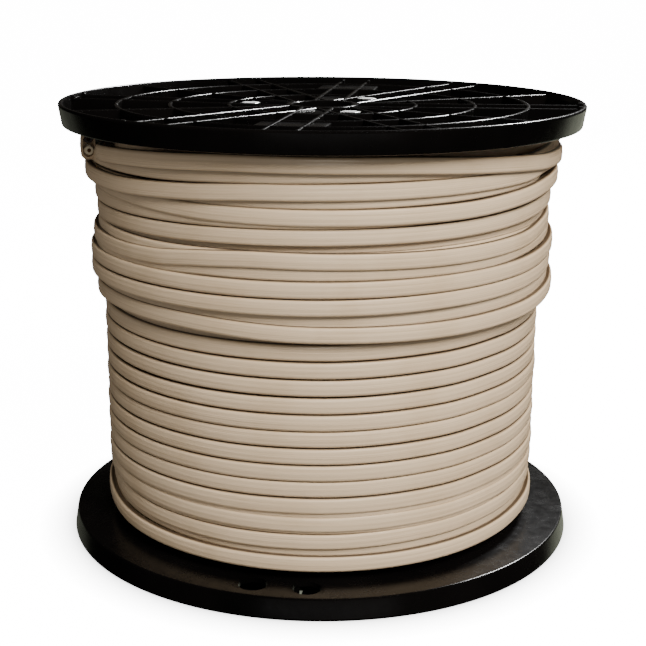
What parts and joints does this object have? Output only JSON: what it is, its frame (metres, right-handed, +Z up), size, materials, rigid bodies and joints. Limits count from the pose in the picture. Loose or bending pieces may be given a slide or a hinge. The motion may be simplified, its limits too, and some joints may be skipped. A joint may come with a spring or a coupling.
{
  "type": "reel of electrical building cable",
  "caption": "Flat building cable wound in level turns on a ribbed black plastic reel that stands on its end, with a central arbor hole.",
  "frame": {"origin": "centre of the base, on the plane that the bottom flange's rim stands on", "axes": "+Z up along the reel's own axis; -Y towards the camera of the picture"},
  "size_m": [0.33, 0.33, 0.279],
  "materials": {
    "black_plastic": "moulded black, semi-gloss",
    "drum_plastic": "moulded black",
    "cable_jacket": "cream jacket with a soft sheen",
    "cable_end_jacket": "cream jacket with a soft sheen, cut across at the end",
    "zinc_steel": "zinc plated"
  },
  "bodies": {
    "root": {"flange_top": "black_plastic", "flange_bottom": "black_plastic", "drum": "drum_plastic", "cable_winding": "cable_jacket", "cable_end": "cable_end_jacket", "tie_bolt_1": "zinc_steel", "tie_bolt_2": "zinc_steel", "tie_bolt_3": "zinc_steel", "tie_nut_1": "zinc_steel", "tie_nut_2": "zinc_steel", "tie_nut_3": "zinc_steel", "washer_low_1": "zinc_steel", "washer_low_2": "zinc_steel", "washer_low_3": "zinc_steel", "washer_top_1": "zinc_steel", "washer_top_2": "zinc_steel", "washer_top_3": "zinc_steel"}
  },
  "joints": []
}
